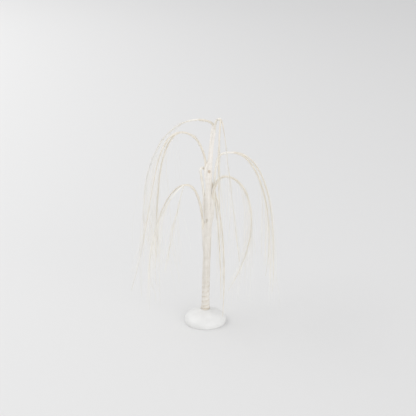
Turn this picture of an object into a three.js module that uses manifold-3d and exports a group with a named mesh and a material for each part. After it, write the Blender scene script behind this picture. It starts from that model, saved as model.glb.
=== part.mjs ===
// Model weeping willow: a bare artificial tree that stands in a low domed base.
// Units are millimetres, +Z is up, and the origin is the middle of the base's flat underside.
// Seen from the front, -Y is towards the viewer and +X is to the right.

import * as THREE from 'three';
import Module from 'manifold-3d';
import { mergeVertices } from 'three/addons/utils/BufferGeometryUtils.js';

const wasm = await Module();
wasm.setup();

// ---------- Driving dimensions ----------

const GAP = 0.3; // clearance between neighbouring solids
const DEG = Math.PI / 180;

// The base is a flat-bottomed bun: a short tucked-in rim with an elliptical dome on it.
const BASE = {
  underside: 24.0, rim: 24.6, rimHeight: 2.2, height: 15.5, // radii of the flat and of the rim, heights
  rimSteps: 3, domeSteps: 7, sides: 32,
};

// The trunk is a bound bundle of wires. It leans to the right, more so above its fork.
const TRUNK = { fork: 187, lean: 1.6, leaderLean: 4.4, sides: 12 };

// Height and radius of the trunk, from the flare at its foot to the slim leader.
const TRUNK_GIRTH = [
  [6, 5.3], [15, 5.2], [20, 4.8], [34, 4.5], [80, 4.3], [127, 4.0], [160, 3.6],
  [182, 3.3], [190, 2.8], [205, 2.6], [229, 2.3], [239, 2.0],
];

const BOUGH = { radius: 1.45, crestRadius: 1.15, steps: 9, sides: 6, shoulder: 0.62 };
const STEM = { radius: 1.1, tipRadius: 0.45, steps: 12, sides: 5 };
const STRAND = { radius: 0.5, tipRadius: 0.3, steps: 6, sides: 3 };

// One row for each bough and for what weeps from its crest.
//   az            compass angle in which it leaves the trunk, 0 = right, 90 = back, -90 = front
//   from, climb   height where it leaves, and the share of its rise spent close beside the trunk
//   crest         distance from the trunk line and height of the top of its arch
//   heading       compass angle in which it passes over the crest, where it isn't az
//   shoulder      share of that distance over which the arch is nearly level, where it isn't the usual one
//   falls         one stem or two: how far on level, then [angle, distance, height] of the place
//                 that the stem is drawn out towards, and of its end
//   fan, drift    how far a strand's end may lie to either side of its root, and in or out from it
//   count         how many strands are tried
// The top left bough has no height of its own: it grows on from the tip of the trunk.
// The near right bough loops round behind the trunk and hangs close on its right.
const BOUGHS = [
  { name: 'top_left', az: 160, climb: 0.5, crest: [16, 244.8], shoulder: 0.8,
    fan: 13, drift: [-14, 3], count: 16,
    falls: [{ over: 11, hang: [156, 101, 232], tip: [153, 92, 73] }] },
  { name: 'high_left', az: 187, from: 190, climb: 0.25, crest: [35, 233], fan: 12, drift: [-3, 13], count: 20,
    falls: [{ over: 35, hang: [187, 66.5, 133], tip: [188, 95, 46] },
      { over: 6, hang: [184, 69, 222], tip: [186, 62.5, 79] }] },
  { name: 'low_left', az: 203, from: 117, climb: 0.2, crest: [29, 174], fan: 14, drift: [-12, 8], count: 20,
    falls: [{ over: 9, hang: [205, 80, 137], tip: [206, 76, 46] },
      { over: 4, hang: [203, 40.5, 136], tip: [206, 57, 74] }] },
  { name: 'near_right', az: 165, from: 150, climb: 0.5, crest: [9, 190], heading: 40,
    fan: 7, drift: [-3, 6], count: 14,
    falls: [{ over: 5, hang: [34, 29, 147], tip: [-40, 20, 11] },
      { over: 8, hang: [34, 14, 176], tip: [-50, 20.5, 35] }] },
  { name: 'high_right', az: -8, from: 140, climb: 0.92, crest: [24, 209.5], shoulder: 0.8,
    fan: 14, drift: [-5, 10], count: 22,
    falls: [{ over: 5, hang: [-8, 79.5, 219], tip: [-8, 72.5, 42] },
      { over: 31, hang: [-8, 75, 139], tip: [-8, 64, 62] }] },
  { name: 'low_right', az: -38, from: 152, climb: 0.5, crest: [28, 185.5], fan: 8, drift: [-16, 0], count: 14,
    falls: [{ over: 31, hang: [-40, 80, 134], tip: [-62, 46, 58] }] },
  { name: 'top_front', az: -60, from: 236, climb: 0.5, crest: [13.5, 249.7], fan: 7, drift: [-5, 7], count: 16,
    falls: [{ over: 8, hang: [-59, 22.5, 235], tip: [-55, 50, 93] },
      { over: 4, hang: [-88, 36, 242.5], tip: [-80, 50, 109] }] },
  { name: 'back_high', az: 90, from: 197, climb: 0.5, crest: [22, 219], fan: 7, drift: [-6, 8], count: 13,
    falls: [{ over: 28, hang: [91, 64, 172], tip: [91, 68, 62] }] },
  { name: 'back_right', az: 58, from: 128, climb: 0.5, crest: [27.5, 171.5], fan: 13, drift: [-8, 4], count: 13,
    falls: [{ over: 29, hang: [47, 100, 128], tip: [54, 74, 52] }] },
  { name: 'back_left', az: 135, from: 100, climb: 0.35, crest: [32.5, 162], fan: 13, drift: [-6, 4], count: 13,
    falls: [{ over: 30, hang: [145, 87, 104], tip: [140, 82, 56] }] },
];

// ---------- Small helpers ----------

const TRUNK_PROFILE = TRUNK_GIRTH.map(([height]) => height);
const LEADER_TIP = TRUNK_PROFILE.at(-1);

// Radius of the trunk at a height, straight between the listed heights.
function trunkRadius(height) {
  const last = TRUNK_GIRTH.length - 1;
  let i = 0;
  while (i < last - 1 && height > TRUNK_PROFILE[i + 1]) i += 1;
  const [low, lowRadius] = TRUNK_GIRTH[i];
  const [high, highRadius] = TRUNK_GIRTH[i + 1];
  const share = THREE.MathUtils.clamp((height - low) / (high - low), 0, 1);
  return THREE.MathUtils.lerp(lowRadius, highRadius, share);
}

// Centre of the leaning trunk at a height.
function trunkCentre(height) {
  const lower = Math.min(height, TRUNK.fork) - BASE.height;
  const upper = Math.max(height - TRUNK.fork, 0);
  const offset = lower * Math.tan(TRUNK.lean * DEG) + upper * Math.tan(TRUNK.leaderLean * DEG);
  return new THREE.Vector3(offset, 0, height);
}

// A point at a distance and height from the trunk, in the direction of a compass angle.
function around(centre, az, distance, height) {
  return new THREE.Vector3(
    centre.x + distance * Math.cos(az * DEG),
    centre.y + distance * Math.sin(az * DEG),
    height,
  );
}

// Seeded numbers from 0 to 1, the same on every run: each is the last one times a factor, modulo a prime.
function seeded(seed) {
  const factor = 48271;
  const prime = 2 ** 31 - 1;
  let state = seed;
  return () => {
    state = (state * factor) % prime;
    return state / prime;
  };
}

// Joins rings of corners, which run anticlockwise about the way from first to last, into a closed skin.
function skin(rings) {
  const sides = rings[0].length;
  const corners = rings.flat();
  const faces = [];
  for (let i = 0; i < rings.length - 1; i += 1) {
    for (let k = 0; k < sides; k += 1) {
      const a = i * sides + k;
      const b = i * sides + (k + 1) % sides;
      faces.push(a, b, b + sides, a, b + sides, a + sides);
    }
  }
  const top = (rings.length - 1) * sides;
  for (let k = 1; k < sides - 1; k += 1) {
    faces.push(0, k + 1, k, top, top + k, top + k + 1);
  }
  const geometry = new THREE.BufferGeometry().setFromPoints(corners);
  geometry.setIndex(faces);
  return geometry;
}

// A tapering limb along a curve, with rings square to it.
function limb(curve, size, rootRadius) {
  const { steps, sides, tipRadius } = size;
  const { normals, binormals } = curve.computeFrenetFrames(steps, false);
  const rings = [];
  for (let i = 0; i <= steps; i += 1) {
    const centre = curve.getPointAt(i / steps);
    const radius = THREE.MathUtils.lerp(rootRadius, tipRadius, i / steps);
    const ring = [];
    for (let k = 0; k < sides; k += 1) {
      const turn = 2 * Math.PI * k / sides;
      ring.push(centre.clone()
        .addScaledVector(normals[i], radius * Math.cos(turn))
        .addScaledVector(binormals[i], radius * Math.sin(turn)));
    }
    rings.push(ring);
  }
  return skin(rings);
}

// A closed geometry as a solid that can be joined or cut, and back again.
function solid(geometry) {
  const plain = geometry.clone();
  plain.deleteAttribute('normal');
  plain.deleteAttribute('uv');
  const merged = mergeVertices(plain);
  return new wasm.Manifold(new wasm.Mesh({
    numProp: 3,
    vertProperties: new Float32Array(merged.attributes.position.array),
    triVerts: new Uint32Array(merged.index.array),
  }));
}

function geometryOf(body) {
  const mesh = body.getMesh();
  const geometry = new THREE.BufferGeometry();
  geometry.setAttribute('position', new THREE.BufferAttribute(mesh.vertProperties, 3));
  geometry.setIndex(new THREE.BufferAttribute(mesh.triVerts, 1));
  geometry.computeVertexNormals();
  return geometry;
}

function node(name, geometry, material) {
  const mesh = new THREE.Mesh(geometry, material);
  mesh.name = name;
  return mesh;
}

// ---------- Materials ----------

const plaster = new THREE.MeshStandardMaterial({ color: '#eeeeec', roughness: 0.6, metalness: 0 });
const bark = new THREE.MeshStandardMaterial({ color: '#dcd8cc', roughness: 0.8, metalness: 0 });
const twine = new THREE.MeshStandardMaterial({ color: '#e6e2d6', roughness: 0.85, metalness: 0 });
const fibre = new THREE.MeshStandardMaterial({ color: '#e0dccf', roughness: 0.9, metalness: 0 });

// ---------- Trunk ----------

// Level rings up the leaning centre line, all a little larger when `extra` is given.
function trunkGeometry(extra = 0) {
  const rings = TRUNK_GIRTH.map(([height, radius]) => {
    const centre = trunkCentre(height);
    const ring = [];
    for (let k = 0; k < TRUNK.sides; k += 1) {
      ring.push(around(centre, 360 * k / TRUNK.sides, radius + extra, height));
    }
    return ring;
  });
  return skin(rings);
}

// ---------- Base ----------

function baseGeometry() {
  const outline = [new THREE.Vector2(0, 0)];
  for (let i = 0; i <= BASE.rimSteps; i += 1) {
    const turn = 90 * DEG * i / BASE.rimSteps;
    const radius = BASE.underside + (BASE.rim - BASE.underside) * Math.sin(turn);
    outline.push(new THREE.Vector2(radius, BASE.rimHeight * (1 - Math.cos(turn))));
  }
  for (let i = 1; i <= BASE.domeSteps; i += 1) {
    const turn = 90 * DEG * i / BASE.domeSteps;
    const radius = i === BASE.domeSteps ? 0 : BASE.rim * Math.cos(turn);
    outline.push(new THREE.Vector2(radius, BASE.rimHeight + (BASE.height - BASE.rimHeight) * Math.sin(turn)));
  }
  return new THREE.LatheGeometry(outline, BASE.sides).rotateX(90 * DEG);
}

// The socket is the trunk's own foot, let down by the clearance so that it doesn't touch the bottom.
function baseWithSocket() {
  const foot = trunkGeometry(GAP).translate(0, 0, -GAP);
  return geometryOf(solid(baseGeometry()).subtract(solid(foot)));
}

// ---------- Boughs and the stems of the strands ----------

// How far a bough's line stands from the trunk's where it runs up beside it.
function besideTrunk(height) {
  return trunkRadius(height) + BOUGH.radius + GAP;
}

// The rise: close beside the trunk at first, then out to a level crest.
function riseCurve({ az, heading = az, from = LEADER_TIP + GAP, climb, crest, shoulder = BOUGH.shoulder }) {
  const [reach, top] = crest;
  const climbed = THREE.MathUtils.lerp(from, top, climb);
  const onTip = from > LEADER_TIP;
  const end = around(trunkCentre(top), az, reach, top);
  return new THREE.CubicBezierCurve3(
    around(trunkCentre(from), az, onTip ? 0 : besideTrunk(from), from),
    around(trunkCentre(climbed), az, onTip ? 0 : besideTrunk((from + climbed) / 2), climbed),
    around(end, heading, -shoulder * reach, top),
    end,
  );
}

// A fall: on over the crest, then out and down to the end of the stem.
function fallCurve({ az, heading = az, crest }, { over, hang, tip }) {
  const [reach, top] = crest;
  const centre = trunkCentre(top);
  const end = around(centre, az, reach, top);
  return new THREE.CubicBezierCurve3(
    around(end, heading, GAP, top),
    around(end, heading, over, top),
    around(centre, ...hang),
    around(centre, ...tip),
  );
}

// ---------- Strands ----------

const SHED = { first: 0.1, last: 0.88 }; // stretch of the stem that sheds strands
const DROP = { least: 0.55, most: 1.0 }; // length of a strand, as a share of what is left of the stem
const TAIL = 24; // how far a strand may hang on below that
const HANDLE = 0.28; // share of its drop that a strand follows the stem's own run
const CARRY = 0.24; // how far that run carries its end outward, as a share of its drop
const PLUMB = 0.4; // share of its drop that a strand hangs straight
const LOWEST = 12; // no strand comes nearer the ground
const DOME_CLEARANCE = 4; // nor nearer the base
const FIRST_SEED = 101;

// One strand: it peels off along the stem's run, then hangs.
function strandCurve(bough, stem, share, random) {
  const at = THREE.MathUtils.lerp(SHED.first, SHED.last, share);
  const root = stem.getPointAt(at);
  const run = stem.getTangentAt(at);
  const outward = new THREE.Vector3(root.x - trunkCentre(bough.crest[1]).x, root.y, 0).normalize();
  const sideways = new THREE.Vector3(-outward.y, outward.x, 0);
  const away = new THREE.Vector3()
    .addScaledVector(outward, THREE.MathUtils.lerp(...bough.drift, random()))
    .addScaledVector(sideways, THREE.MathUtils.lerp(-bough.fan, bough.fan, random()));
  const left = root.z - stem.v3.z;
  const drop = Math.min(left * THREE.MathUtils.lerp(DROP.least, DROP.most, random()) + TAIL * random(),
    root.z - LOWEST);
  const tip = root.clone().add(away)
    .addScaledVector(new THREE.Vector3(run.x, run.y, 0), CARRY * drop)
    .setZ(root.z - drop);
  return new THREE.CubicBezierCurve3(
    root,
    root.clone().addScaledVector(run, HANDLE * drop).addScaledVector(away, HANDLE),
    tip.clone().setZ(tip.z + PLUMB * drop),
    tip,
  );
}

// Shortest distance between the straight pieces p1-q1 and p2-q2.
const PARALLEL = 1e-9;

function pieceDistance(p1, q1, p2, q2) {
  const d1 = q1.clone().sub(p1);
  const d2 = q2.clone().sub(p2);
  const r = p1.clone().sub(p2);
  const a = d1.dot(d1);
  const e = d2.dot(d2);
  const b = d1.dot(d2);
  const c = d1.dot(r);
  const f = d2.dot(r);
  const area = a * e - b * b;
  let s = area > PARALLEL ? THREE.MathUtils.clamp((b * f - c * e) / area, 0, 1) : 0;
  let t = (b * s + f) / e;
  if (t < 0 || t > 1) {
    t = THREE.MathUtils.clamp(t, 0, 1);
    s = THREE.MathUtils.clamp((b * t - c) / a, 0, 1);
  }
  return r.addScaledVector(d1, s).addScaledVector(d2, -t).length();
}

// A limb's centre line as straight pieces, with the thickness that others keep clear of.
function path(owner, points, radius) {
  return { owner, points, radius };
}

function clear(candidate, placed) {
  return placed.every((other) => {
    if (other.owner === candidate.owner) return true;
    const least = candidate.radius + other.radius + GAP;
    for (let i = 0; i < candidate.points.length - 1; i += 1) {
      for (let j = 0; j < other.points.length - 1; j += 1) {
        const [p1, q1] = [candidate.points[i], candidate.points[i + 1]];
        const [p2, q2] = [other.points[j], other.points[j + 1]];
        if (pieceDistance(p1, q1, p2, q2) < least) return false;
      }
    }
    return true;
  });
}

function clearOfBase(points) {
  return points.every((point) => Math.hypot(point.x, point.y) > BASE.rim + DOME_CLEARANCE
    || point.z > BASE.height + DOME_CLEARANCE);
}

// ---------- The tree ----------

const tree = new THREE.Group();
tree.add(node('base', baseWithSocket(), plaster));
tree.add(node('trunk', trunkGeometry(), bark));

// Limbs that every strand keeps clear of: the trunk, all boughs and all stems.
const placed = [path('trunk', TRUNK_PROFILE.map(trunkCentre), TRUNK_GIRTH[0][1])];
for (const bough of BOUGHS) {
  bough.rise = riseCurve(bough);
  bough.stems = bough.falls.map((fall) => fallCurve(bough, fall));
  placed.push(path(`bough_${bough.name}`, bough.rise.getSpacedPoints(BOUGH.steps), BOUGH.radius));
  for (const stem of bough.stems) {
    placed.push(path(`strands_${bough.name}`, stem.getSpacedPoints(STEM.steps), STEM.radius));
  }
}

function boughGeometry(bough) {
  return limb(bough.rise, { ...BOUGH, tipRadius: BOUGH.crestRadius }, BOUGH.radius);
}

// One weeping mass: its stems with every strand that hangs clear of the rest, joined into one body.
function massGeometry(bough, seed) {
  const random = seeded(seed);
  const pieces = bough.stems.map((stem) => solid(limb(stem, STEM, STEM.radius)));
  for (let index = 0; index < bough.count; index += 1) {
    const stem = bough.stems[index % bough.stems.length];
    const curve = strandCurve(bough, stem, (index + random()) / bough.count, random);
    const points = curve.getSpacedPoints(STRAND.steps);
    const strand = path(`strands_${bough.name}`, points, STRAND.radius);
    if (clearOfBase(points) && clear(strand, placed)) {
      placed.push(strand);
      pieces.push(solid(limb(curve, STRAND, STRAND.radius)));
    }
  }
  return geometryOf(pieces.reduce((body, piece) => body.add(piece)));
}

BOUGHS.forEach((bough, index) => {
  tree.add(node(`bough_${bough.name}`, boughGeometry(bough), twine));
  tree.add(node(`strands_${bough.name}`, massGeometry(bough, FIRST_SEED + index), fibre));
});

export default tree;
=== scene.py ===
# %% [markdown]
# # A bare weeping willow, made as a small model tree
#
# The real object is a model tree about 25 cm high. It has a cast plaster base, a trunk of wires bound
# with paper tape, boughs of twisted fibre that arch out and over, and fine pale fibres that hang down
# all round. Here each of these is made as real geometry round the solids of the frame.
#
# The lesson works in millimetres, because that is how a maker would measure such a tree. One function
# turns the finished points to metres, when the mesh is made.

# %% Load the frame
import math

import bpy
import numpy as np
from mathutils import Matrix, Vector


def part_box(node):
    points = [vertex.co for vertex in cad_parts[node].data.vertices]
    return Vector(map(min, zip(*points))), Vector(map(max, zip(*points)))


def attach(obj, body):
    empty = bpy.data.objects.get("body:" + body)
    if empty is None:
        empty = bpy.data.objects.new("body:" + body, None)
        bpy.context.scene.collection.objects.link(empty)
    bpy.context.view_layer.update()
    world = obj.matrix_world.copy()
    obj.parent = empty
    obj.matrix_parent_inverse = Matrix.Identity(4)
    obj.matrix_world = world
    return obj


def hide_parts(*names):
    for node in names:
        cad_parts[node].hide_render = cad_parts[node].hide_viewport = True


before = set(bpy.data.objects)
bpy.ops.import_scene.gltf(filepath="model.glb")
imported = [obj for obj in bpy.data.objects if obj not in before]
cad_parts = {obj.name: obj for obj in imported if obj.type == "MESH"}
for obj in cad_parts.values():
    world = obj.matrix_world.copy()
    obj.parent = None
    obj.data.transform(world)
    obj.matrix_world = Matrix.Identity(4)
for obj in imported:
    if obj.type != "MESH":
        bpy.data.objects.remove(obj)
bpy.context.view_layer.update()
MM = 0.001  # metres in a millimetre


def add_object(name, data):
    """Puts a new object with its data into the scene."""
    thing = bpy.data.objects.new(name, data)
    bpy.context.scene.collection.objects.link(thing)
    return thing


def aim(thing, place, target):
    """Sets a camera or a lamp down at a place, in metres, and turns it to face another."""
    thing.location = Vector(place)
    thing.rotation_euler = (Vector(target) - thing.location).to_track_quat("-Z", "Y").to_euler()


# %% [markdown]
# ## Camera
#
# The tree is looked at from a little above, as something on a table is. A long lens from about a metre
# away keeps the upright lines nearly parallel.

# %% Camera
LENS, SENSOR = 85, 36  # a portrait lens on a full-frame sensor, in millimetres
DISTANCE = 1120
ELEVATION = math.radians(20)
AIM = np.array([3.2, 0.0, 142.6])  # just above half the height of the tree

eye = AIM + DISTANCE * np.array([0, -math.cos(ELEVATION), math.sin(ELEVATION)])
camera_data = bpy.data.cameras.new("camera")
camera_data.lens, camera_data.sensor_width = LENS, SENSOR
camera = add_object("camera", camera_data)
aim(camera, eye * MM, AIM * MM)
bpy.context.scene.camera = camera

# %% [markdown]
# ## Colours and nodes
#
# Colours are written as sRGB hex values, but a shader works in linear light, so one function turns
# them. The other small functions add nodes, link them and blend colours. Every material below is built
# with these.

# %% Colour and node helpers


def linear(hex_colour):
    """An sRGB hex colour such as "#eeeeec" as linear red, green, blue and alpha."""
    parts = [int(hex_colour[i:i + 2], 16) / 255 for i in (1, 3, 5)]
    return [v / 12.92 if v <= 0.04045 else ((v + 0.055) / 1.055) ** 2.4 for v in parts] + [1]


def feed(node, **inputs):
    """Sets the inputs of a node. Each is a number, a colour, or an output of another node to link."""
    for name, value in inputs.items():
        socket = node.inputs[int(name[1:])] if name[1:].isdigit() else node.inputs[name.replace("_", " ")]
        if isinstance(value, bpy.types.NodeSocket):
            node.id_data.links.new(value, socket)
        else:
            socket.default_value = value


def add_node(material, kind, settings=None, output=0, **inputs):
    """Adds a node with its settings and inputs, and gives one of its outputs."""
    node = material.node_tree.nodes.new("ShaderNode" + kind)
    for name, value in (settings or {}).items():
        setattr(node, name, value)
    feed(node, **inputs)
    return node.outputs[output]


def new_material(name):
    """A new material, and its shader."""
    material = bpy.data.materials.new(name)
    material.use_nodes = True
    return material, material.node_tree.nodes["Principled BSDF"]


def ramp(material, value, low, dark, high, light):
    """A colour that runs from dark to light while a value goes from low to high."""
    result = add_node(material, "ValToRGB", Fac=value)
    for stop, place, colour in zip(result.node.color_ramp.elements, (low, high), (dark, light)):
        stop.position, stop.color = place, linear(colour)
    return result


def blend(material, share, colour, tint):
    """A colour that turns to a tint as the share goes from 0 to 1."""
    return add_node(material, "Mix", {"data_type": "RGBA"}, 2, Factor=share, _6=colour, _7=linear(tint))


def noise(material, place, scale, detail=3.0):
    """Cloudy noise. At a scale of 1000 its patches are about 1 mm."""
    return add_node(material, "TexNoise", Vector=place, Scale=scale, Detail=detail)


def mapped(material, value, low, high, start=0.0, end=1.0):
    """A value that goes from start to end while another one goes from low to high."""
    return add_node(material, "MapRange", Value=value, From_Min=low, From_Max=high, To_Min=start, To_Max=end)


def arithmetic(material, operation, *values):
    """The result of one operation on numbers or on outputs of other nodes."""
    inputs = {"_{}".format(number): value for number, value in enumerate(values)}
    return add_node(material, "Math", {"operation": operation}, **inputs)


print("white paper is", [round(v, 3) for v in linear("#ffffff")], "and grey card", linear("#808080")[0])

# %% [markdown]
# ## Floor and light
#
# The tree stands in a light tent: soft white light from all round, and a pale sweep of card below that
# is so wide that it fills the view. Two large lamps shape the light. The one on the left has a grid and
# shines down on the card beside the tree, which makes the card grow a little darker to the right. The
# one at the front right makes the right side of the trunk the paler one. Standard colour management
# keeps the pale tones as they are set.

# %% Floor and light
FLOOR_RADIUS = 8000
FLOOR_SIDES = 64

card, card_shader = new_material("pale_card")
card_grain = add_node(card, "TexNoise", Scale=900.0, Detail=2.0)
card_bump = add_node(card, "Bump", Strength=0.02, Distance=0.0002, Height=card_grain)
feed(card_shader, Base_Color=linear("#dfdfde"), Roughness=0.85, Specular_IOR_Level=0.2, Normal=card_bump)

turns = np.arange(FLOOR_SIDES) * 2 * math.pi / FLOOR_SIDES
floor_mesh = bpy.data.meshes.new("floor")
floor_mesh.from_pydata(
    [(FLOOR_RADIUS * MM * math.cos(t), FLOOR_RADIUS * MM * math.sin(t), 0) for t in turns],
    [], [tuple(range(FLOOR_SIDES))])
floor_mesh.materials.append(card)
floor = add_object("floor", floor_mesh)

world = bpy.data.worlds.new("tent")
world.use_nodes = True
feed(world.node_tree.nodes["Background"], Color=linear("#fdfdff"), Strength=0.785)
bpy.context.scene.world = world
bpy.context.scene.view_settings.view_transform = "Standard"


def soft_lamp(name, place, target, size, watts, spread=180):
    """A rectangular lamp: its place, what it faces and its sides, in metres. A grid narrows its spread."""
    data = bpy.data.lights.new(name, "AREA")
    data.shape, data.energy, data.spread = "RECTANGLE", watts, math.radians(spread)
    data.size, data.size_y = size
    aim(add_object(name, data), place, target)


soft_lamp("lamp_left", (-1.7, 1.0, 1.7), (-1.2, 1.0, 0.0), (4.0, 1.0), 20, 130)
soft_lamp("lamp_front", (1.5, -2.5, 1.0), (0.0, 0.0, 0.1), (3.0, 1.6), 32)

# %% [markdown]
# ## The tree's measures
#
# The frame's solids come from a short list of measures, and the fine tree is grown again from the same
# ones, so that every bough and strand lands where its solid is: the girth of the trunk at a few
# heights, and for each bough the way it leaves, the top of its arch and where its stems end.

# %% Measures of base, trunk and limbs
GAP = 0.3  # clearance between neighbouring solids
BASE = dict(underside=24.0, rim=24.6, rim_height=2.2, height=15.5)
FORK, LEAN, LEADER_LEAN = 187, math.tan(math.radians(1.6)), math.tan(math.radians(4.4))
GIRTH = np.array([
    (6, 5.3), (15, 5.2), (20, 4.8), (34, 4.5), (80, 4.3), (127, 4.0), (160, 3.6),
    (182, 3.3), (190, 2.8), (205, 2.6), (229, 2.3), (239, 2.0)])
LEADER_TIP = GIRTH[-1, 0]
BOUGH = dict(radius=1.45, steps=9, shoulder=0.62)
STEM = dict(radius=1.1, steps=12)
STRAND = dict(radius=0.5, steps=6)


def trunk_radius(height):
    """Radius of the trunk at one height or at many."""
    return np.interp(height, GIRTH[:, 0], GIRTH[:, 1])


def trunk_centre(height):
    """Centre of the leaning trunk at one height or at many."""
    height = np.asarray(height, float)
    offset = (np.minimum(height, FORK) - BASE["height"]) * LEAN + np.maximum(height - FORK, 0) * LEADER_LEAN
    return np.stack([offset, np.zeros_like(offset), height], axis=-1)


def around(centre, az, distance, height):
    """A point at a distance from a centre, in the direction of a compass angle."""
    turn = math.radians(az)
    return np.array([centre[0] + distance * math.cos(turn), centre[1] + distance * math.sin(turn), height])


print("trunk tip at", np.round(trunk_centre(LEADER_TIP), 1), "mm")

# %% [markdown]
# Compass angles run from 0 on the right, through 90 at the back, to -90 at the front. A bough leaves the
# trunk in its direction, climbs, and passes over its crest. Each of its stems then falls: on level for
# a way, out towards one place, and down to its end. Where `fade` is large, a stem thins soon. Its
# strands lean outwards by `drift`, which may be inwards, and to either side by up to `fan`.

# %% One row for each bough


def bough_row(name, az, start, climb, crest, falls, fan, drift, count, heading=None, shoulder=None,
              fade=(2.2, 2.2)):
    """The measures of one bough, with the usual ones filled in."""
    return dict(name=name, az=az, start=start, climb=climb, crest=crest, falls=falls, fan=fan, drift=drift,
                count=count, fade=fade, heading=az if heading is None else heading,
                shoulder=BOUGH["shoulder"] if shoulder is None else shoulder)


TIP = LEADER_TIP + GAP
BOUGHS = [
    bough_row("top_left", 160, TIP, 0.5, (16, 244.8), [(11, (156, 101, 232), (153, 92, 73))],
              13, (-14, 3), 16, shoulder=0.8, fade=(8,)),
    bough_row("high_left", 187, 190, 0.25, (35, 233),
              [(35, (187, 66.5, 133), (188, 95, 46)), (6, (184, 69, 222), (186, 62.5, 79))],
              12, (-3, 13), 20),
    bough_row("low_left", 203, 117, 0.2, (29, 174),
              [(9, (205, 80, 137), (206, 76, 46)), (4, (203, 40.5, 136), (206, 57, 74))],
              14, (-12, 8), 20, fade=(9, 30)),
    bough_row("near_right", 165, 150, 0.5, (9, 190),
              [(5, (34, 29, 147), (-40, 20, 11)), (8, (34, 14, 176), (-50, 20.5, 35))],
              7, (-3, 6), 14, heading=40, fade=(0.5, 0.8)),
    bough_row("high_right", -8, 140, 0.92, (24, 209.5),
              [(5, (-8, 79.5, 219), (-8, 72.5, 42)), (31, (-8, 75, 139), (-8, 64, 62))],
              14, (-5, 10), 22, shoulder=0.8, fade=(1.6, 1.6)),
    bough_row("low_right", -38, 152, 0.5, (28, 185.5), [(31, (-40, 80, 134), (-62, 46, 58))],
              8, (-16, 0), 14),
    bough_row("top_front", -60, 236, 0.5, (13.5, 249.7),
              [(8, (-59, 22.5, 235), (-55, 50, 93)), (4, (-88, 36, 242.5), (-80, 50, 109))],
              7, (-5, 7), 16, fade=(9, 1.2)),
    bough_row("back_high", 90, 197, 0.5, (22, 219), [(28, (91, 64, 172), (91, 68, 62))],
              7, (-6, 8), 13),
    bough_row("back_right", 58, 128, 0.5, (27.5, 171.5), [(29, (47, 100, 128), (54, 74, 52))],
              13, (-8, 4), 13),
    bough_row("back_left", 135, 100, 0.35, (32.5, 162), [(30, (145, 87, 104), (140, 82, 56))],
              13, (-6, 4), 13),
]
print(len(BOUGHS), "boughs,", sum(len(b["falls"]) for b in BOUGHS), "stems")

# %% [markdown]
# ## Limbs as curves
#
# A bough bent by its own weight is a smooth curve with one bend, and a cubic Bezier curve says that with
# four corners: where it starts, the way it sets out, the way it arrives, and where it ends. Places along
# it are counted by length, not by the curve's own parameter, or they would bunch up at the bend.

# %% Points along a curve
LENGTH_TABLE = 200  # chords that a curve's length is summed over


def bezier(corners, t):
    """Points of a cubic curve at values of its own parameter."""
    t = np.asarray(t, float)[..., None]
    a, b, c, d = corners
    return (1 - t) ** 3 * a + 3 * (1 - t) ** 2 * t * b + 3 * (1 - t) * t ** 2 * c + t ** 3 * d


def by_length(corners, share):
    """The curve's own parameter at shares of its length."""
    t = np.linspace(0, 1, LENGTH_TABLE + 1)
    chords = np.linalg.norm(np.diff(bezier(corners, t), axis=0), axis=1)
    length = np.concatenate([[0], np.cumsum(chords)])
    return np.interp(np.asarray(share) * length[-1], length, t)


def spaced(corners, steps):
    """Points at equal distances along a curve, both ends included."""
    return bezier(corners, by_length(corners, np.linspace(0, 1, steps + 1)))


def run_at(corners, share):
    """Direction of a curve at a share of its length."""
    t = by_length(corners, share)
    step = 1e-4
    run = bezier(corners, min(t + step, 1)) - bezier(corners, max(t - step, 0))
    return run / np.linalg.norm(run)


# %% Rise and falls of a bough


def beside_trunk(height):
    """How far a bough's line stands from the trunk's where it runs up beside it."""
    return trunk_radius(height) + BOUGH["radius"] + GAP


def rise_curve(bough):
    """Close beside the trunk at first, then out to a level crest."""
    (reach, top), start, az = bough["crest"], bough["start"], bough["az"]
    climbed = start + (top - start) * bough["climb"]
    on_tip = start > LEADER_TIP
    end = around(trunk_centre(top), az, reach, top)
    return (around(trunk_centre(start), az, 0 if on_tip else beside_trunk(start), start),
            around(trunk_centre(climbed), az, 0 if on_tip else beside_trunk((start + climbed) / 2), climbed),
            around(end, bough["heading"], -bough["shoulder"] * reach, top),
            end)


def fall_curve(bough, over, hang, tip):
    """On over the crest, then out and down to the end of the stem."""
    reach, top = bough["crest"]
    centre = trunk_centre(top)
    end = around(centre, bough["az"], reach, top)
    return (around(end, bough["heading"], GAP, top), around(end, bough["heading"], over, top),
            around(centre, *hang), around(centre, *tip))


for bough in BOUGHS:
    bough["rise"] = rise_curve(bough)
    bough["stems"] = [fall_curve(bough, *fall) for fall in bough["falls"]]
    bough["strands"] = []
print("low_left starts at", np.round(BOUGHS[2]["rise"][0], 1))

# %% [markdown]
# ## Which strands hang free
#
# Each stem sheds strands along its length. A strand peels off along the stem's run and then hangs
# plumb. Its place, its lean and its length come from seeded numbers, the same ones that shaped the
# solids, and a strand that would touch another limb is left out. So every lock of fibres made later
# hangs where the frame has a strand.

# %% Seeded numbers and one strand
SHED = (0.1, 0.88)  # stretch of the stem that sheds strands
DROP = (0.55, 1.0)  # length of a strand, as a share of what is left of the stem
TAIL = 24  # the most that a strand may hang below its stem's end
HANDLE, CARRY, PLUMB = 0.28, 0.24, 0.4  # how it sets out, is carried outwards, and ends plumb
LOWEST, DOME_CLEARANCE = 12, 4  # how near it may come to the ground, and to the base's dome
FIRST_SEED = 101


def seeded(seed):
    """Numbers from 0 to 1: each is the last one times a factor, modulo a prime."""
    state = seed
    while True:
        state = state * 48271 % (2 ** 31 - 1)
        yield state / (2 ** 31 - 1)


def between(pair, share):
    """The number at a share of the way from the first of a pair to the second."""
    return pair[0] + (pair[1] - pair[0]) * share


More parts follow.
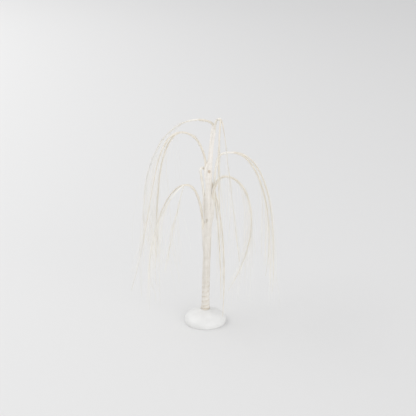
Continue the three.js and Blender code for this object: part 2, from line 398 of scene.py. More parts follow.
def hanging_curve(bough, stem, at, lean, drop):
    """A strand that leaves the stem at a share of its length, leans out and aside, and hangs."""
    root, run = bezier(stem, by_length(stem, at)), run_at(stem, at)
    out = np.array([root[0] - trunk_centre(bough["crest"][1])[0], root[1], 0])
    out /= np.linalg.norm(out)
    away = out * lean[0] + np.array([-out[1], out[0], 0]) * lean[1]
    tip = root + away + CARRY * drop * np.array([run[0], run[1], 0])
    tip[2] = root[2] - drop
    return (root, root + run * HANDLE * drop + away * HANDLE, tip + np.array([0, 0, PLUMB * drop]), tip)


def next_strand(bough, stem, share, numbers):
    """The place, lean and length of a strand, at a share of the stretch that sheds them."""
    at = between(SHED, share)
    lean = (between(bough["drift"], next(numbers)), between((-bough["fan"], bough["fan"]), next(numbers)))
    height = bezier(stem, by_length(stem, at))[2]
    drop = (height - stem[3][2]) * between(DROP, next(numbers)) + TAIL * next(numbers)
    return dict(at=at, lean=lean, drop=min(drop, height - LOWEST))


# %% Clear of the rest


def least_distance(line, other):
    """Shortest distance between two lines of straight pieces, tried for every pair of pieces."""
    p, q = line[:-1, None], other[None, :-1]
    d1, d2 = line[1:, None] - p, other[None, 1:] - q
    r = p - q
    a, e, b = (d1 * d1).sum(-1), (d2 * d2).sum(-1), (d1 * d2).sum(-1)
    c, f = (d1 * r).sum(-1), (d2 * r).sum(-1)
    area = a * e - b * b
    s = np.where(area > 1e-9, np.clip((b * f - c * e) / np.where(area > 1e-9, area, 1), 0, 1), 0)
    t = (b * s + f) / e
    s = np.where((t < 0) | (t > 1), np.clip((b * np.clip(t, 0, 1) - c) / a, 0, 1), s)
    t = np.clip(t, 0, 1)
    return np.linalg.norm(r + d1 * s[..., None] - d2 * t[..., None], axis=-1).min()


def hangs_free(owner, line, placed, thickness):
    """Whether a strand stays clear of the base and of every limb that isn't its owner's."""
    over_base = (np.hypot(line[:, 0], line[:, 1]) <= BASE["rim"] + DOME_CLEARANCE)
    if (over_base & (line[:, 2] <= BASE["height"] + DOME_CLEARANCE)).any():
        return False
    return all(other_owner == owner or least_distance(line, other) >= thickness + radius + GAP
               for other_owner, other, radius in placed)


# %% Every strand that is kept
placed = [("trunk", trunk_centre(GIRTH[:, 0]), GIRTH[0, 1])]
for bough in BOUGHS:
    placed.append(("bough " + bough["name"], spaced(bough["rise"], BOUGH["steps"]), BOUGH["radius"]))
    placed += [(bough["name"], spaced(stem, STEM["steps"]), STEM["radius"]) for stem in bough["stems"]]

for order, bough in enumerate(BOUGHS):
    numbers = seeded(FIRST_SEED + order)
    for index in range(bough["count"]):
        which = index % len(bough["stems"])
        share = (index + next(numbers)) / bough["count"]
        stem = bough["stems"][which]
        strand = next_strand(bough, stem, share, numbers)
        curve = hanging_curve(bough, stem, **strand)
        line = spaced(curve, STRAND["steps"])
        if hangs_free(bough["name"], line, placed, STRAND["radius"]):
            placed.append((bough["name"], line, STRAND["radius"]))
            bough["strands"].append((which, strand, curve[3]))
    low = np.array(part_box("strands_" + bough["name"])[0]) / MM
    ends = np.array([tip for _, _, tip in bough["strands"]])
    print(bough["name"], len(bough["strands"]), "of", bough["count"], "strands; lowest",
          round(ends[:, 2].min(), 1), "solid's lowest", round(low[2], 1))

# %% [markdown]
# ## Tubes from arrays
#
# Wires, boughs, stems and fibres are all tubes: rings of corners along a line, closed at both ends.
# Thousands of curve objects would be slow to make, so the corners of all the tubes of one kind are
# worked out together in one array, and go into one mesh. The rings are carried along each line without
# twisting, so that any twist in a bundle is there on purpose.

# %% Mesh from points and faces


def make_piece(name, points, quads, triangles, material, along=None):
    """An object from arrays in millimetres. `along` is a texture place in metres for each quad corner."""
    mesh = bpy.data.meshes.new(name)
    mesh.vertices.add(len(points))
    mesh.vertices.foreach_set("co", (points * MM).ravel())
    corners = np.concatenate([quads.ravel(), triangles.ravel()])
    starts = np.concatenate([np.arange(len(quads)) * 4, quads.size + np.arange(len(triangles)) * 3])
    mesh.loops.add(len(corners))
    mesh.loops.foreach_set("vertex_index", corners)
    mesh.polygons.add(len(starts))
    mesh.polygons.foreach_set("loop_start", starts)
    mesh.update(calc_edges=True)
    mesh.polygons.foreach_set("use_smooth", np.ones(len(starts), bool))
    if along is not None:
        places = np.zeros((len(corners), 2))
        places[:len(along)] = along
        mesh.uv_layers.new(name="along").data.foreach_set("uv", places.ravel())
    mesh.materials.append(material)
    return add_object(name, mesh)


def dress(piece, slot, *nodes):
    """Says what a piece rides on and which solids it stands for; the slot is not used."""
    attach(piece, "root")
    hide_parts(*nodes)


# %% Rings along lines
END_POINT = 0.6  # how far the point that closes a tube stands out, as a share of the radius there


def unit(vectors):
    """Vectors of length 1 in the same directions."""
    return vectors / np.linalg.norm(vectors, axis=-1, keepdims=True)


def carried(lines, first):
    """The run of each line, and two directions square to it that are carried on without a twist."""
    run = unit(np.gradient(lines, axis=1))
    across = np.empty_like(lines)
    now = np.broadcast_to(first, lines[:, 0].shape)
    for k in range(lines.shape[1]):
        now = unit(now - (now * run[:, k]).sum(-1, keepdims=True) * run[:, k])
        across[:, k] = now
    return run, across, np.cross(run, across)


def skin(rings, ends):
    """Points, quads and triangles of closed tubes, from rings of corners and a point at each end."""
    count, steps, sides, _ = rings.shape
    points = np.concatenate([rings.reshape(count, steps * sides, 3), ends], axis=1).reshape(-1, 3)
    i, j = np.meshgrid(np.arange(steps - 1), np.arange(sides), indexing="ij")
    onward = (j + 1) % sides
    quads = np.stack([i * sides + j, i * sides + onward, (i + 1) * sides + onward, (i + 1) * sides + j], -1)
    j, onward = j[0], onward[0]
    last = (steps - 1) * sides
    foot = np.stack([np.full(sides, steps * sides), onward, j], -1)
    tip = np.stack([np.full(sides, steps * sides + 1), last + j, last + onward], -1)
    start = (np.arange(count) * (steps * sides + 2))[:, None, None]
    return (points, (quads.reshape(1, -1, 4) + start).reshape(-1, 4),
            (np.concatenate([foot, tip])[None] + start).reshape(-1, 3))


def tube_rings(lines, radii, sides, first):
    """Rings round lines. The radii are given for each ring, or for each corner of each ring."""
    run, across, over = carried(lines, first)
    turn = np.arange(sides) * 2 * math.pi / sides
    radii = np.broadcast_to(radii if np.ndim(radii) == 3 else np.asarray(radii)[..., None],
                            (*lines.shape[:2], sides))
    rings = (lines[:, :, None] + radii[..., None] * (np.cos(turn)[:, None] * across[:, :, None]
                                                   + np.sin(turn)[:, None] * over[:, :, None]))
    point = radii.mean(-1)[..., None] * END_POINT
    ends = np.stack([lines[:, 0] - run[:, 0] * point[:, 0], lines[:, -1] + run[:, -1] * point[:, -1]], axis=1)
    return rings, ends


def distances(line):
    """Distance along a line to each of its points."""
    return np.concatenate([[0], np.cumsum(np.linalg.norm(np.diff(line, axis=0), axis=1))])


def places_along(rings):
    """A texture place for each quad corner of one tube: round it, and along it, in metres."""
    steps, sides = rings.shape[1:3]
    far = distances(rings[0].mean(axis=1)) * MM
    girth = np.linalg.norm(rings[0, :, 0] - rings[0, :, sides // 2], axis=-1).mean() * math.pi * MM
    i, j = np.meshgrid(np.arange(steps - 1), np.arange(sides), indexing="ij")
    corners = [(j, i), (j + 1, i), (j + 1, i + 1), (j, i + 1)]
    return np.stack([np.stack([a * girth / sides, far[b]], -1) for a, b in corners], axis=2).reshape(-1, 2)


def loose_noise(seed, count):
    """Smooth seeded numbers that drift slowly, most of them between -1 and 1."""
    rough = np.random.default_rng(seed).normal(size=count // 4 + 4)
    return np.interp(np.linspace(1, len(rough) - 2, count), np.arange(len(rough)), rough)


print("tube helpers ready")

# %% [markdown]
# ## Cast base
#
# The base is poured plaster: a low bun with a tucked-in rim, smooth but not quite true, because it was
# cast in a soft mould and rubbed down by hand. A lathe gives the outline, and slow waves in its radius
# and height give the hand of the maker. At the top the plaster climbs a little on the foot of the trunk,
# round the pit that takes it. Plaster is matt with a faint sealed sheen: IOR 1.5, roughness about 0.5.

# %% Cast plaster
plaster, plaster_shader = new_material("cast_plaster")
place = add_node(plaster, "TexCoord", output="Object")
clouds = noise(plaster, place, 90.0)  # patches of about 10 mm
grit = noise(plaster, place, 2200.0)  # about half a millimetre
pits = add_node(plaster, "TexVoronoi", Vector=place, Scale=420.0)  # air bubbles 2 to 3 mm apart
tone = ramp(plaster, clouds, 0.3, "#dddddb", 0.7, "#e4e4e2")
sheen = mapped(plaster, clouds, 0.0, 1.0, 0.42, 0.56)
pit_depth = mapped(plaster, pits, 0.0, 0.18, -1.0, 0.0)
relief = arithmetic(plaster, "MULTIPLY_ADD", grit, 0.25, pit_depth)
plaster_bump = add_node(plaster, "Bump", Strength=0.35, Distance=0.00025, Height=relief)
feed(plaster_shader, Base_Color=tone, Roughness=sheen, Normal=plaster_bump, IOR=1.5)

# %% Base
BASE_SIDES, RIM_STEPS, DOME_STEPS = 160, 9, 40
PIT = dict(radius=6.6, depth=0.9)
UNDERSIDE = (8, 14, 20, 23.2)  # radii of the rings on the flat underside
# The edge of the pit, each point as so far out and up from where the dome ends.
LIP = [(-0.5, 0.22), (-0.95, 0.6), (-1.25, 1.05), (-1.45, 1.2), (-1.62, 1.1), (-1.65, -PIT["depth"])]
SWELLS = [(2, 0.16, 0.7), (3, 0.12, 2.1), (7, 0.07, 0.4), (11, 0.04, 1.3)]  # waves round, size, phase
RIPPLES = [(3, 0.12, 4), (5, 0.08, -2.3)]  # waves round, size in height, and how they shift outwards
SWELL_SHARE, SHRINK = 0.8, 0.1  # how much of the swells is kept, and how much the cast has shrunk
SETTLE = 5  # the waves die out over this distance from the pit

rim_turn = np.linspace(0, math.pi / 2, RIM_STEPS)
rim = np.stack([BASE["underside"] + (BASE["rim"] - BASE["underside"]) * np.sin(rim_turn),
                BASE["rim_height"] * (1 - np.cos(rim_turn))], -1)
dome_rise = BASE["height"] - BASE["rim_height"]
pit_turn = math.acos((PIT["radius"] + 0.5) / BASE["rim"])
dome_turn = np.linspace(0, pit_turn, DOME_STEPS)[1:]
dome = np.stack([BASE["rim"] * np.cos(dome_turn), BASE["rim_height"] + dome_rise * np.sin(dome_turn)], -1)
flat = np.array([(r, 0.0) for r in UNDERSIDE])
outline = np.concatenate([flat, rim, dome, dome[-1] + np.array(LIP)])
out = outline[:, 0, None]

base_turn = np.arange(BASE_SIDES) * 2 * math.pi / BASE_SIDES
swell = sum(size * np.sin(waves * base_turn + phase) for waves, size, phase in SWELLS)
ripple = sum(size * np.sin(waves * base_turn[None] + out / shift) for waves, size, shift in RIPPLES)
height_share = outline[:, 1, None] / BASE["height"]
lump = np.minimum(1, height_share * 6) * np.minimum(1, (out - PIT["radius"]).clip(0) / SETTLE)
radius = out + swell * (lump * SWELL_SHARE) - SHRINK * lump
rise = outline[:, 1, None] + ripple * lump
base_rings = np.stack([radius * np.cos(base_turn), radius * np.sin(base_turn), rise], -1)[None]
base_ends = np.array([[(0, 0, 0), (0, 0, outline[-1, 1])]])
dress(make_piece("base_cast", *skin(base_rings, base_ends), plaster), "cast_base", "base")
print("base", round(2 * radius.max(), 1), "mm across,", round(rise.max(), 2), "mm high")

# %% [markdown]
# ## Trunk
#
# The trunk is a bundle of wires, one for each bough, wound with strips of white paper tape. So it has
# three kinds of relief: slow lengthwise lobes where the wires lie, a shallow step every few millimetres
# where the tape laps itself, and a shoulder where each bough turns out of the bundle. The shoulders are
# worked out ring by ring as the smooth union of the trunk's circle with the bough's, so that no seam
# shows. A grid of rings is used instead of Boolean unions because it stays smooth and closed. Where
# two wires of the bundle part under the tape, a short groove is pressed in.

# %% Shape of the trunk
TRUNK_SIDES, TRUNK_STEP = 112, 0.5  # corners round it, and height of one ring in millimetres
TAPE_PITCH = 6.0  # height of one turn of the tape
EASE = 8  # rings to each side that the trunk's girth is evened over
BUNDLE = dict(turn=95, shift=60, lobes=0.05, wires=0.035)  # slow twist, and how far lobes and wires show
SHOULDER = dict(radius=1.5, below=30.0, above=14.0, blend=0.9)  # how far it swells under and over a fork
TRUNK_FOOT, TRUNK_TOP = 12.2, LEADER_TIP + 1.6
GROOVES = [  # compass angle, lowest and highest point, depth
    (-77, 170, 183, 0.55), (-118, 138, 162, 0.5), (-60, 100, 128, 0.35), (-140, 84, 112, 0.3)]
GROOVE_HALF = 0.12  # half the width of a groove, as an angle round the trunk


def smooth_union(a, b, width):
    """The larger of two numbers, with a soft blend where they are nearly the same."""
    share = np.clip(0.5 + 0.5 * (a - b) / width, 0, 1)
    return b + (a - b) * share + width * share * (1 - share)


def smooth_step(a, b, value):
    """0 up to a and 1 from b on, with a soft rise between."""
    share = np.clip((value - a) / (b - a), 0, 1)
    return share ** 2 * (3 - 2 * share)


def shoulder_reach(bough, turn, height):
    """How far out from the trunk line the foot of a bough shows: it swells out and sinks in again."""
    above = height - bough["start"]
    swell = smooth_step(-SHOULDER["below"], 0, above) - smooth_step(0, SHOULDER["above"], above)
    buried = SHOULDER["radius"] + SHOULDER["blend"]
    out = trunk_radius(height) - buried + swell * (BOUGH["radius"] + GAP + buried)
    angle = turn - math.radians(bough["az"])
    inside = SHOULDER["radius"] ** 2 - (out * np.sin(angle)) ** 2
    reach = out * np.cos(angle) + np.sqrt(np.maximum(inside, 0))
    return np.where((inside > 0) & (np.cos(angle) > 0) & (swell > 0), reach, 0)


def groove(turn, height, az, low, high, depth):
    """A furrow along the trunk, about a millimetre wide, that fades at both ends."""
    aside = (turn - math.radians(az) + math.pi) % (2 * math.pi) - math.pi
    fade = smooth_step(low - 2, low + 3, height) - smooth_step(high - 3, high + 2, height)
    return depth * fade * np.exp(-(aside / GROOVE_HALF) ** 2)


heights = np.arange(TRUNK_FOOT, TRUNK_TOP, TRUNK_STEP)[:, None]
turn = (np.arange(TRUNK_SIDES) * 2 * math.pi / TRUNK_SIDES)[None]
window = 2 * EASE + 1
even_girth = np.convolve(np.pad(trunk_radius(heights[:, 0]), EASE, mode="edge"),
                         np.ones(window) / window, "valid")
girth = even_girth[:, None] * np.ones_like(turn)
twist = turn + heights / BUNDLE["turn"]
lobes = (BUNDLE["lobes"] * np.cos(5 * twist)
         + BUNDLE["wires"] * np.cos(8 * twist + heights / BUNDLE["shift"] + 1))
girth = girth * (1 + lobes * np.clip((heights - 20) / 30, 0.25, 1))
for bough in BOUGHS[1:]:  # the first one goes on from the tip, and needs no shoulder
    girth = smooth_union(girth, shoulder_reach(bough, turn, heights), SHOULDER["blend"])
for row in GROOVES:
    girth = girth - groove(turn, heights, *row)

# %% Tape laps and creases
LAPS = dict(low=0.13, high=0.07, change=62)  # step of a lap low down and higher up, and where it changes
CREASE = dict(depth=0.035, rings=3)  # how deep creases are, and how many rings each one runs over
lap = ((heights - TAPE_PITCH * turn / (2 * math.pi)) / TAPE_PITCH) % 1
lap_depth = np.where(heights < LAPS["change"], LAPS["low"], LAPS["high"])
crease_source = np.random.default_rng(11)
creases = crease_source.normal(size=(heights.shape[0] // CREASE["rings"] + 3, TRUNK_SIDES))
crease_length = CREASE["rings"] * TRUNK_STEP
creases = np.stack([np.interp(heights[:, 0] / crease_length - TRUNK_FOOT / crease_length,
                              np.arange(creases.shape[0]), column) for column in creases.T], -1)
creases = (creases + np.roll(creases, 1, 1)) / 2
girth = girth + lap_depth * (lap ** 2 - 0.5) + CREASE["depth"] * creases
slim = 1 - 0.3 * smooth_step(LEADER_TIP - 7, LEADER_TIP, heights)  # down to the rope that grows on from it
cap = np.clip((TRUNK_TOP - heights) / 1.2, 0.05, 1) ** 0.5  # rounds the last 1.2 mm off
girth = girth * slim * cap

centre = trunk_centre(heights[:, 0])
trunk_rings = np.stack([centre[:, 0, None] + girth * np.cos(turn), girth * np.sin(turn),
                        heights * np.ones_like(turn)], -1)[None]
trunk_ends = np.stack([centre[0], centre[-1] + [0, 0, 0.1]])[None]
print("trunk rings", trunk_rings.shape[1:3], "widest", round(girth.max(), 2), "mm")

# %% [markdown]
# Florist's paper tape is crepe paper with wax in it: off-white, matt, with a faint tooth. High up it is
# painted paler: painted light against the shade that falls on it among the boughs. Low on the trunk it
# has yellowed in flecks, where glue soaked through. At the two forks with wire ties, a darker patch is
# painted shade in the crotch. Creases run along the bundle about half a millimetre apart; they are drawn
# a little coarser, so that they still show. Paper's IOR is about 1.5 and its roughness about 0.8.

# %% Paper tape
# Painted shade: darker patches in the two crotches where boughs part from the trunk, by the wire ties.
PAINTED_CROTCH_SHADE = [  # middle, radius and colour
    ((4.3, -3.2, 187.2), 2.4, "#dccdbb"), ((1.9, -4.0, 129.0), 2.2, "#d6d2cb")]
tape, tape_shader = new_material("waxed_paper_tape")
place = add_node(tape, "TexCoord", output="Object")
tall = add_node(tape, "Mapping", Vector=place, Scale=(1.0, 1.0, 0.12))
crepe = noise(tape, tall, 1300.0)
bands = noise(tape, place, 160.0)  # stains of about 6 mm
spots = noise(tape, place, 520.0, 4.0)  # flecks of about 2 mm
x, y, z = add_node(tape, "SeparateXYZ", Vector=place).node.outputs
low_down = mapped(tape, z, 46 * MM, 64 * MM, 1.0, 0.15)
compass = arithmetic(tape, "ARCTAN2", y, x)
wound = arithmetic(tape, "MULTIPLY_ADD", compass, -TAPE_PITCH * MM / (2 * math.pi), z)
lap_place = arithmetic(tape, "WRAP", wound, TAPE_PITCH * MM, 0.0)
lap_edge = mapped(tape, lap_place, 2.2 * MM, 5.6 * MM)
fleck = mapped(tape, spots, 0.40, 0.62)
fleck_low = arithmetic(tape, "MULTIPLY", fleck, low_down)
fleck_lap = arithmetic(tape, "MULTIPLY", fleck_low, lap_edge)
paper = ramp(tape, bands, 0.32, "#dad5cc", 0.68, "#e5e1da")
# Painted light: from 90 mm up the tape turns paler, against the shade among the boughs.
crown_painted_light = mapped(tape, z, 90 * MM, 180 * MM, 0.0, 0.85)
stains_and_painted_light = blend(tape, fleck_lap, blend(tape, crown_painted_light, paper, "#f3efe9"), "#cfc6b6")
# Each patch is painted shade, darkest at its middle and fading out over a ragged edge.
for spot, width, tint in PAINTED_CROTCH_SHADE:
    apart = add_node(tape, "VectorMath", {"operation": "DISTANCE"}, "Value", _0=place,
                     _1=[v * MM for v in spot])
    ragged = arithmetic(tape, "MULTIPLY_ADD", spots, 2 * MM, apart)
    near = mapped(tape, ragged, (width * 0.5 + 1) * MM, (width + 1) * MM, 1.0, 0.0)
    stains_and_painted_light = blend(tape, near, stains_and_painted_light, tint)
tape_bump = add_node(tape, "Bump", Strength=0.5, Distance=0.0002, Height=crepe)
feed(tape_shader, Base_Color=stains_and_painted_light, Roughness=0.78, Normal=tape_bump)

# %% Trunk piece
dress(make_piece("trunk_wrapped", *skin(trunk_rings, trunk_ends), tape), "wrapped_trunk", "trunk")

# %% [markdown]
# ## Binding wire
#
# At its foot the bundle is tied with a few turns of pale wire, which show as a thin ring above the
# plaster, and two more ties have their twisted ends bent flat at the forks. A wire is a tube along a
# helix, so its line is worked out point by point. Florist's wire is lacquered, so it hardly shines.

# %% Florist's wire
lacquer, lacquer_shader = new_material("lacquered_florists_wire")
place = add_node(lacquer, "TexCoord", output="Object")
blotches = noise(lacquer, place, 1500.0, 2.0)  # of about 1 mm
buff = ramp(lacquer, blotches, 0.0, "#cdc3b2", 1.0, "#e2dacc")
feed(lacquer_shader, Base_Color=buff, Metallic=0.1, Roughness=0.55)

# %% Ties
WIRE, WIRE_SIDES = 0.21, 8  # radius of the wire, and corners round it
FOOT_TIE = dict(turns=2.4, height=17.6, pitch=2.1 * WIRE, off=0.12, slack=0.04, steps=180)
TWIST = dict(turns=2.2, apart=0.25, off=0.35, steps=60)  # of two ends: turns, half their distance, lift
TWISTED_ENDS = [(-112, 126.0, 10, 5), (-118, 187.4, 45, -0.8)]  # compass angle, height, swing, climb


def foot_tie():
    """A few turns of wire round the foot of the trunk."""
    turns = np.linspace(0, FOOT_TIE["turns"] * 2 * math.pi, FOOT_TIE["steps"])
    height = FOOT_TIE["height"] + turns / (2 * math.pi) * FOOT_TIE["pitch"]
    centre = trunk_centre(height)
    reach = trunk_radius(height) + FOOT_TIE["off"] + FOOT_TIE["slack"] * np.sin(turns * 2.3)
    return np.stack([centre[:, 0] + reach * np.cos(turns - 2), reach * np.sin(turns - 2), height], -1)


def twisted_ends(az, height, swing, climb):
    """Two ends of wire twisted together and bent flat against the bundle."""
    share = np.linspace(0, 1, TWIST["steps"])[:, None]
    level = height + climb * share[:, 0]
    angle = np.radians(az + swing * share)
    out = np.concatenate([np.cos(angle), np.sin(angle), 0 * angle], axis=1)
    middle = trunk_centre(level) + out * (trunk_radius(level)[:, None] + TWIST["off"])
    side = np.cross(out, unit(np.gradient(middle, axis=0)))
    turns = share * TWIST["turns"] * 2 * math.pi
    return [middle + TWIST["apart"] * (np.cos(turns + start) * side + np.sin(turns + start) * out)
            for start in (0, math.pi)]


tie_lines = [foot_tie()] + [line for ends in TWISTED_ENDS for line in twisted_ends(*ends)]
tie_parts = [skin(*tube_rings(line[None], np.full((1, len(line)), WIRE), WIRE_SIDES, [0.1, 0.2, 1.0]))
             for line in tie_lines]


def joined(parts):
    """Several sets of points and faces as one."""
    starts = np.cumsum([0] + [len(points) for points, _, _ in parts[:-1]])
    return (np.concatenate([points for points, _, _ in parts]),
            np.concatenate([quads + start for (_, quads, _), start in zip(parts, starts)]),
            np.concatenate([triangles + start for (_, _, triangles), start in zip(parts, starts)]))


dress(make_piece("trunk_ties", *joined(tie_parts), lacquer), "wrapped_trunk", "trunk")
print("ties", len(tie_lines), "wires")

# %% [markdown]
# ## Boughs and stems
#
# A bough is a rope of straw-coloured fibre on a wire. Seen close, it has three things: strands laid in a
# slow twist, fine fibres on its skin, and a thickness that is never quite even. The rope's body is one
# tube whose rings are pulled in between the laid strands, and the twist turns them along the way. The
# stem that falls from the crest is the same rope, growing thinner as it sheds its fibres.
#
# Fibre like sisal or raffia has IOR about 1.5 and roughness about 0.6. The streaks follow the rope, so
# its material reads the place along the tube. The ropes of three boughs on the right are painted paler as
# painted highlight, and two stems on the left are paler than the rest.

# %% Twisted fibre


def fibre_material(name, dark, light, streaks):
    """A fibre finish. With streaks it reads the place along a rope, otherwise the place in the air."""
    material, shader = new_material(name)
    if streaks:
        place, squeeze, scale = add_node(material, "UVMap", {"uv_map": "along"}), (1.0, 0.06, 1.0), 1600.0
    else:
        place, squeeze, scale = add_node(material, "TexCoord", output="Object"), (1.0, 1.0, 0.15), 260.0
    stretch = add_node(material, "Mapping", Vector=place, Scale=squeeze)
    streak = noise(material, stretch, scale)
    bump = add_node(material, "Bump", Strength=0.4, Distance=0.0001, Height=streak)
    feed(shader, Base_Color=ramp(material, streak, 0.35, dark, 0.65, light), Roughness=0.62, Normal=bump)
    return material


rope = fibre_material("twisted_straw_fibre", "#d8d0c1", "#f0ebe0", True)
# Painted highlight: the three boughs on the right take this paler rope for the light along them; the two
# stems in PALE_STEMS are just paler.
pale_rope_and_painted_highlight = fibre_material("pale_straw_rope_and_painted_highlight", "#e6e1d6", "#faf8f2", True)
BOUGHS_WITH_PAINTED_HIGHLIGHT = ("near_right", "high_right", "top_front")
PALE_STEMS = ("low_left", "top_left")
rope_hair = fibre_material("loose_straw_hair", "#f3eddf", "#faf7ef", False)

# %% Rope body
ROPE_SIDES, STEM_SIDES, ROPE_STEP = 30, 24, 0.6
LAY = 30.0  # length of rope in which a laid strand goes once round
ROPE = dict(foot=1.35, crest=1.05, tip=0.16)  # radius where it leaves the trunk, at its crest and its end
LAID = dict(strands=5, fibres=11)  # how many of each go round a rope
RELIEF = dict(deep=0.16, out=0.09, fine=0.035, uneven=0.06)  # as shares of its radius
FINE_LAY = 1.4 * LAY  # the fine fibres go round more slowly than the strands that they lie in
IN_TRUNK, IN_TIP, IN_CREST, PAST_CREST = 7.0, 2.4, 1.5, 2.2  # how far ropes run on inside what holds them


def rope_rings(line, radii, sides, seed, first):
    """Rings of a rope of laid strands, with an uneven thickness."""
    far = distances(line)[:, None]
    turn = (np.arange(sides) * 2 * math.pi / sides)[None]
    strands = np.abs(np.cos(LAID["strands"] / 2 * (turn + 2 * math.pi * far / LAY)))
    laid = RELIEF["deep"] * strands - RELIEF["out"]
    fine = RELIEF["fine"] * np.cos(LAID["fibres"] * (turn + 2 * math.pi * far / FINE_LAY))
    uneven = RELIEF["uneven"] * loose_noise(seed, len(line))[:, None]
    body = radii[:, None] * (1 + laid + fine + uneven)
    return tube_rings(line[None], body[None], sides, first)


def stem_girth(fade, far):
    """Radius of a stem at shares of its length: it thins as it sheds its fibres."""
    return ROPE["tip"] + (ROPE["crest"] - ROPE["tip"]) * (1 - far) ** fade


def level_side(bough):
    """The level direction square to the way in which a bough sets out."""
    turn = math.radians(bough["heading"])
    return np.array([-math.sin(turn), math.cos(turn), 0])


def at_length(far, values, wanted):
    """Rows of values at wanted distances along a line."""
    return np.stack([np.interp(wanted, far, values[:, k]) for k in range(3)], -1)


def limb_line(corners, length_step, before=0.0, after=0.0):
    """Points along a curve, with straight pieces added before and after it."""
    total = distances(spaced(corners, 60))[-1]
    line = spaced(corners, int(total / length_step))
    head = [line[0] - unit(line[1] - line[0]) * d for d in np.arange(before, 0, -length_step)]
    tail = [line[-1] + unit(line[-1] - line[-2]) * d for d in np.arange(length_step, after, length_step)]
    return np.array(head + list(line) + tail)


# %% Every bough and its stems
ROPE_SEED, STEM_SEED = 300, 340
SLIM = 0.55  # share of its radius that a rope has inside its shoulder


def add_rope(name, line, radii, sides, seed, square, finish):
    """A piece from the line and the radii of a rope."""
    rings, ends = rope_rings(line, radii, sides, seed, square)
    return make_piece(name, *skin(rings, ends), finish, places_along(rings))


for order, bough in enumerate(BOUGHS):
    name, square, on_tip = bough["name"], level_side(bough), bough["start"] > LEADER_TIP
    line = limb_line(bough["rise"], ROPE_STEP, before=IN_TIP if on_tip else IN_TRUNK, after=PAST_CREST)
    radii = ROPE["foot"] + (ROPE["crest"] - ROPE["foot"]) * np.linspace(0, 1, len(line))
    radii *= SLIM + (1 - SLIM) * smooth_step(0, 2 if on_tip else 8, distances(line))
    piece = add_rope("bough_rope_" + name, line, radii, ROPE_SIDES, ROPE_SEED + order, square,
                     pale_rope_and_painted_highlight if name in BOUGHS_WITH_PAINTED_HIGHLIGHT else rope)
    dress(piece, "twisted_bough", "bough_" + name)
    for number, stem in enumerate(bough["stems"]):
        line = limb_line(stem, ROPE_STEP, before=IN_CREST)
        far = distances(line) / distances(line)[-1]
        radii = stem_girth(bough["fade"][number], far) * smooth_step(-0.01, 0.012, far)
        piece = add_rope("stem_rope_{}_{}".format(name, number + 1), line, radii, STEM_SIDES,
                         STEM_SEED + 10 * order + number, square, pale_rope_and_painted_highlight if name in PALE_STEMS else rope)
        dress(piece, "fibre_strand", "strands_" + name)
print("boughs", len(BOUGHS), "stems", sum(len(bough["stems"]) for bough in BOUGHS))

# %% [markdown]
# ## Loose hairs on the boughs
#
# A twisted rope of fibre is never smooth: hairs lie along it, and their ends spring off. Each hair is a
# tube of three sides that winds along the skin of the bough and lifts away at its last few millimetres.

# %% Hairs
HAIRS = dict(count=16, radius=(0.06, 0.1), length=(10, 34), lift=(0.2, 1.7), steps=26)
HAIR_SEED = 500


def line_frame(corners, square):
    """Points along a limb, their distances along it, and the two directions square to it at each."""
    line = limb_line(corners, 1.0)
    _, across, over = carried(line[None], square)
    return line, distances(line), across[0], over[0]


def outward(far, across, over, place, turn):
    """The way out from a limb's line, at distances along it and at angles round it."""
    return (np.cos(turn)[:, None] * at_length(far, across, place)
            + np.sin(turn)[:, None] * at_length(far, over, place))


def hair(line, far, across, over, girth, source):
    """Centre line of one hair that winds along a bough."""
    length = source.uniform(*HAIRS["length"])
    start = source.uniform(0, max(far[-1] - length, 1))
    place = start + length * np.linspace(0, 1, HAIRS["steps"])
    turn = source.uniform(0, 2 * math.pi) + 2 * math.pi * (place - start) / LAY
    lift = source.uniform(*HAIRS["lift"]) * smooth_step(0.55, 1.0, (place - start) / length) ** 2
    out = outward(far, across, over, place, turn)
    return at_length(far, line, place) + out * (np.interp(place, far, girth) * 1.02 + lift)[:, None]


for order, bough in enumerate(BOUGHS):
    source = np.random.default_rng(HAIR_SEED + order)
    square = level_side(bough)
    frame_of_rise = line_frame(bough["rise"], square)
    girth = np.linspace(ROPE["foot"], ROPE["crest"], len(frame_of_rise[0]))
    hairs = np.stack([hair(*frame_of_rise, girth, source) for _ in range(HAIRS["count"])])
    radii = source.uniform(*HAIRS["radius"], (HAIRS["count"], 1)) * np.ones(HAIRS["steps"])
    piece = make_piece("bough_hairs_" + bough["name"], *skin(*tube_rings(hairs, radii, 3, square)), rope_hair)
    dress(piece, "twisted_bough", "bough_" + bough["name"])
print("hairs", HAIRS["count"] * len(BOUGHS))

# %% [markdown]
# ## Locks of fibre
#
# The solids hold one strand for each lock. The real tree has a lock of fine fibres there: they lie on the
# skin of the stem at first, leave it one after the other, and hang in a loose bundle that opens towards
# its end. Every fibre is its own tube with three sides, since at a tenth of a millimetre nobody sees
# more. Fibres of one lock share a tint, and the locks are dealt to three tints. Single fibres fill the
# veil between the locks.

# %% Fibres of one lock
FIBRES = (3, 8)  # fewest fibres in a lock beside its thick one, and one more than the most
FIBRE_RADIUS = (0.04, 0.06)
FIBRE_STEPS = 34
LEAD = (4.0, 30.0)  # how far a fibre lies along its stem before it leaves
BOW = 1.6  # how far a fibre may bow away from its stem before it leaves
STRAY = dict(at=0.07, lean=4.5, shortest=0.6)  # how far the fibres of one lock differ from each other
LET_GO, SWAY = 12, 55  # lengths in which a fibre leaves its stem, and in which it sways once
SWAYS = ((1, 0.7), (2, 0.4), (4, 0.16))  # how many times as fast each sway is, and how wide
VEIL = dict(count=9, at=(0.04, 0.62))  # single fibres of each stem, and the stretch of it that they leave
LEADER_FIBRE = (0.09, 0.13)  # radius of the one thick fibre of each lock, which hangs where the solid does


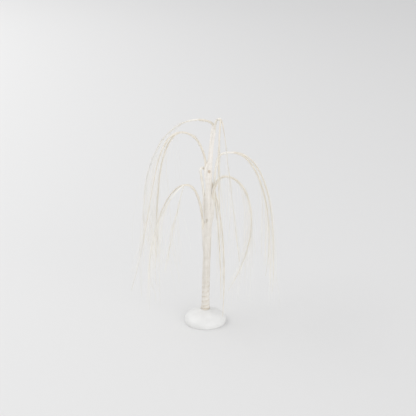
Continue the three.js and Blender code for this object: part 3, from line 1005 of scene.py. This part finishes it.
def stray(bough, strand, source):
    """A place on the stem, a lean and a length a little off those of a lock, within the mass's reach."""
    at = np.clip(strand["at"] + source.normal(0, STRAY["at"]), 0.04, 0.97)
    lean = np.array(strand["lean"]) + source.normal(0, STRAY["lean"], 2)
    low, high = (bough["drift"][0], -bough["fan"]), (bough["drift"][1], bough["fan"])
    return at, np.clip(lean, low, high), strand["drop"] * source.uniform(STRAY["shortest"], 1.04)


def veil_strand(bough, stem, source):
    """A single fibre that leaves its stem early, anywhere within the mass's reach."""
    at = source.uniform(*VEIL["at"])
    lean = np.array([source.uniform(*bough["drift"]), source.uniform(-bough["fan"], bough["fan"])])
    left = bezier(stem, by_length(stem, at))[2] - stem[3][2]
    return at, lean, left * source.uniform(*DROP) * source.uniform(STRAY["shortest"], 1)


def one_fibre(bough, stem, frame_of_stem, hang, thickness, source):
    """Centre line of a fibre: along the skin of its stem, then down by the same rule as its lock."""
    (line, far, across, over), fade = frame_of_stem
    at, lean, drop = hang
    height = bezier(stem, by_length(stem, at))[2]
    drop = min(drop, height - LOWEST)
    curve = hanging_curve(bough, stem, at, lean, drop)
    length = distances(spaced(curve, 40))[-1]
    lead = min(source.uniform(*LEAD), at * far[-1])
    s = np.linspace(-lead, length, FIBRE_STEPS)
    on_stem = np.clip(at * far[-1] + s, 0, at * far[-1])
    turn = source.uniform(0, 2 * math.pi) + np.minimum(s, 0) / LAY * math.pi
    bow = source.uniform(0, BOW) * np.sin(math.pi * np.clip((s + lead) / (lead + LET_GO), 0, 1))
    hold = (stem_girth(fade, on_stem / far[-1]) * 0.95 + bow)[:, None]
    skin_offset = hold * outward(far, across, over, on_stem, turn)
    free = np.clip(s / length, 0, 1)
    middle = np.where(s[:, None] < 0, at_length(far, line, on_stem), bezier(curve, by_length(curve, free)))
    waves = np.zeros_like(middle)
    for pace, size in SWAYS:
        swing = source.normal(0, size * (0.5 if thickness is LEADER_FIBRE else 1.0), 2)
        phase = source.uniform(0, 2 * math.pi, 2)
        waves[:, :2] += swing * np.sin(phase + pace * math.pi * s[:, None] / SWAY) * (free ** 0.8)[:, None]
    let_go = smooth_step(0, LET_GO, s)[:, None]
    radius = source.uniform(*thickness) * (1 - 0.5 * free ** 2)
    return middle + skin_offset * (1 - let_go) + waves, radius


# %% Every lock, joined by mass and tint
TINTS = {
    "straw": fibre_material("fine_fibre_straw", "#f2ebda", "#f8f3e7", False),
    "cream": fibre_material("fine_fibre_cream", "#f7f2e6", "#fbf8f0", False),
    "bleached": fibre_material("fine_fibre_bleached", "#fbf9f4", "#fefdfb", False),
}
FIBRE_SEED = 700
CLEAR = 0.2  # how far fibres stay from the limbs of others, beside the usual gap


def deal(bough, source):
    """Every fibre of a mass: which stem it is on, how it hangs, how thick it is, and its tint."""
    names, dealt = list(TINTS), []
    for which, strand, _ in bough["strands"]:
        tint = names[source.integers(0, len(names))]
        dealt.append((which, (strand["at"], strand["lean"], strand["drop"]), LEADER_FIBRE, tint))
        dealt += [(which, stray(bough, strand, source), FIBRE_RADIUS, tint)
                  for _ in range(source.integers(*FIBRES))]
    for which, stem in enumerate(bough["stems"]):
        for _ in range(VEIL["count"]):
            tint = names[source.integers(1, len(names))]
            dealt.append((which, veil_strand(bough, stem, source), FIBRE_RADIUS, tint))
    return dealt


fibres_made = 0
limbs = [row for row in placed if row[2] > STRAND["radius"]]
for order, bough in enumerate(BOUGHS):
    source = np.random.default_rng(FIBRE_SEED + order)
    square = level_side(bough)
    frames = [(line_frame(stem, square), fade) for stem, fade in zip(bough["stems"], bough["fade"])]
    dealt = {tint: [] for tint in TINTS}
    for which, hang, thickness, tint in deal(bough, source):
        line, radius = one_fibre(bough, bough["stems"][which], frames[which], hang, thickness, source)
        if hangs_free(bough["name"], line[::4], limbs, CLEAR):
            dealt[tint].append((line, radius))
    for tint, fibres in dealt.items():
        if not fibres:
            continue
        lines, radii = (np.stack(column) for column in zip(*fibres))
        piece = make_piece("fibres_{}_{}".format(bough["name"], tint),
                           *skin(*tube_rings(lines, radii, 3, square)), TINTS[tint])
        dress(piece, "fibre_strand", "strands_" + bough["name"])
        fibres_made += len(fibres)
print("fibres", fibres_made)
